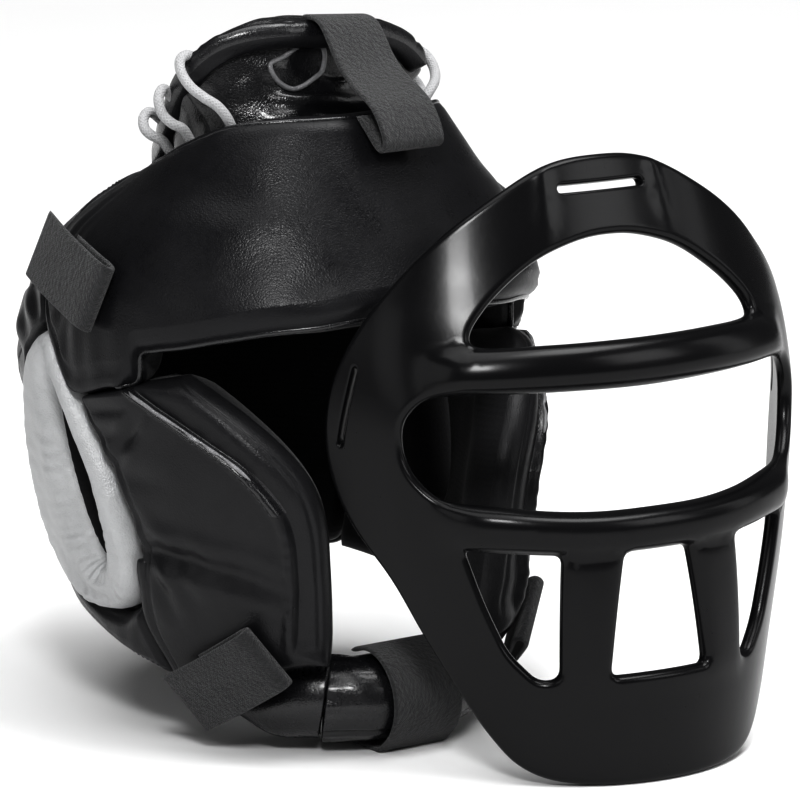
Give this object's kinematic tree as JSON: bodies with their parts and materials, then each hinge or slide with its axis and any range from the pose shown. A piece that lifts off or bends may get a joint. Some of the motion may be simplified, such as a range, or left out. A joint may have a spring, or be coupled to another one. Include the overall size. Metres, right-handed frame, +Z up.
{
  "type": "boxing headgear with face mask",
  "caption": "Padded leather boxing headgear with silver ear rings, a laced crown and hook-and-loop straps, with its moulded face mask standing in front of it.",
  "frame": {"origin": "on the floor, under the middle of the whole set", "axes": "+Z up; the headgear faces -Y; +X is the wearer's left"},
  "size_m": [0.2794, 0.309, 0.2868],
  "materials": {
    "black_leather": "satin, fine grain",
    "gloss_leather": "glossy, gathered",
    "silver_leather": "satin, wrinkled",
    "strap_tape": "fuzzy hook-and-loop tape",
    "lace_cord": "braided",
    "mask_plastic": "gloss"
  },
  "bodies": {
    "root": {"forehead_band": "black_leather", "back_panel": "black_leather", "cheek_pad_left": "black_leather", "cheek_pad_right": "black_leather", "jaw_panel_left": "black_leather", "jaw_panel_right": "black_leather", "crown_flap": "gloss_leather", "chin_bar": "gloss_leather", "ear_pad_left": "silver_leather", "ear_pad_right": "silver_leather", "strap_top": "strap_tape", "strap_chin": "strap_tape", "strap_temple_left": "strap_tape", "strap_temple_right": "strap_tape", "strap_jaw_left": "strap_tape", "strap_jaw_right": "strap_tape", "lace_left": "lace_cord", "lace_right": "lace_cord", "face_mask": "mask_plastic"}
  },
  "joints": []
}
